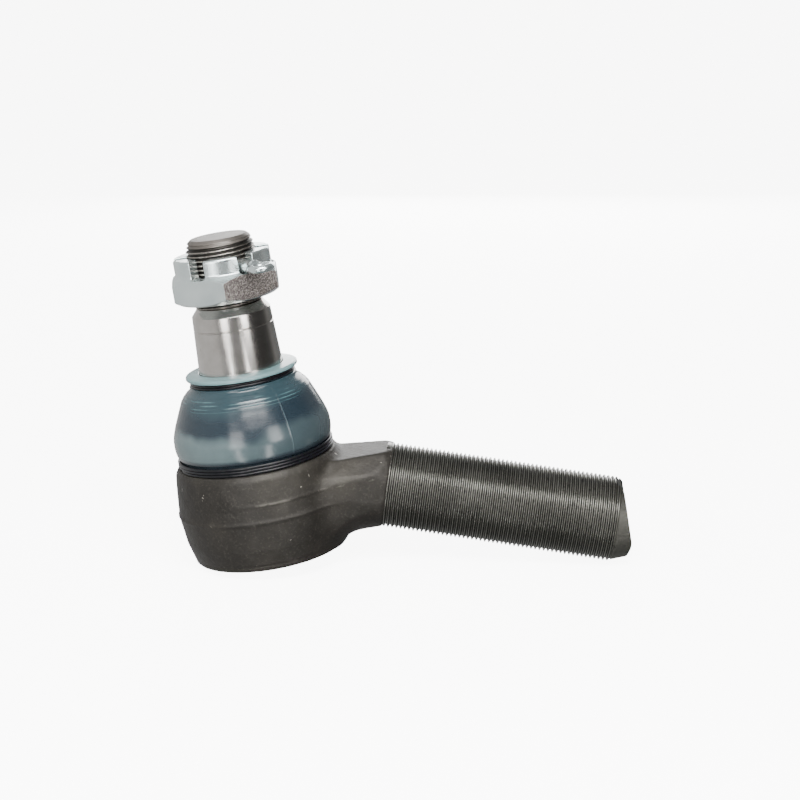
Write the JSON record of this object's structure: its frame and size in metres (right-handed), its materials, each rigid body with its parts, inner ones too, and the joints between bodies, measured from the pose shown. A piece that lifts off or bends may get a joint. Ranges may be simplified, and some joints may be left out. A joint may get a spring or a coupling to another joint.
{
  "type": "tie rod end",
  "caption": "Heavy-duty tie rod end with an angled male-thread shank, tapered ball stud, castle nut, split pin and a translucent blue boot with wire clamp rings.",
  "frame": {"origin": "centre of the ball", "axes": "+Z along the ball stud towards its thread, the shank leans out towards +X and down"},
  "size_m": [0.1576, 0.0618, 0.1334],
  "materials": {
    "forged_steel": "dark scaled forging with a light oil film",
    "ground_steel": "ground and turned bright steel",
    "zinc_steel": "pale zinc plate",
    "boot_rubber": "translucent blue-grey polyurethane",
    "black_wire": "glossy black coated wire",
    "spring_steel": "plain spring steel",
    "seat_plastic": "natural acetal",
    "seal_rubber": "black nitrile"
  },
  "bodies": {
    "housing_body": {"housing": "forged_steel", "upper_seat": "seat_plastic", "lower_seat": "seat_plastic", "seat_spring": "spring_steel", "cover": "forged_steel", "cover_seal": "seal_rubber", "boot_lower_ring": "black_wire"},
    "boot_body": {"boot": "boot_rubber"},
    "collar_body": {"boot_upper_ring": "black_wire"},
    "stud_body": {"ball_stud": "ground_steel", "castle_nut": "zinc_steel", "split_pin": "zinc_steel"}
  },
  "joints": [
    {"name": "swivel", "type": "hinge", "parent": "housing_body", "child": "boot_body", "pos_m": [0, 0, 0], "axis": [0, 0, 1], "continuous": true},
    {"name": "tilt", "type": "hinge", "parent": "boot_body", "child": "collar_body", "pos_m": [0, 0, 0], "axis": [1, 0, 0], "range_deg": [-18, 18], "deforming": ["boot"]},
    {"name": "spin", "type": "hinge", "parent": "collar_body", "child": "stud_body", "pos_m": [0, 0, 0], "axis": [0, 0, 1], "continuous": true}
  ]
}
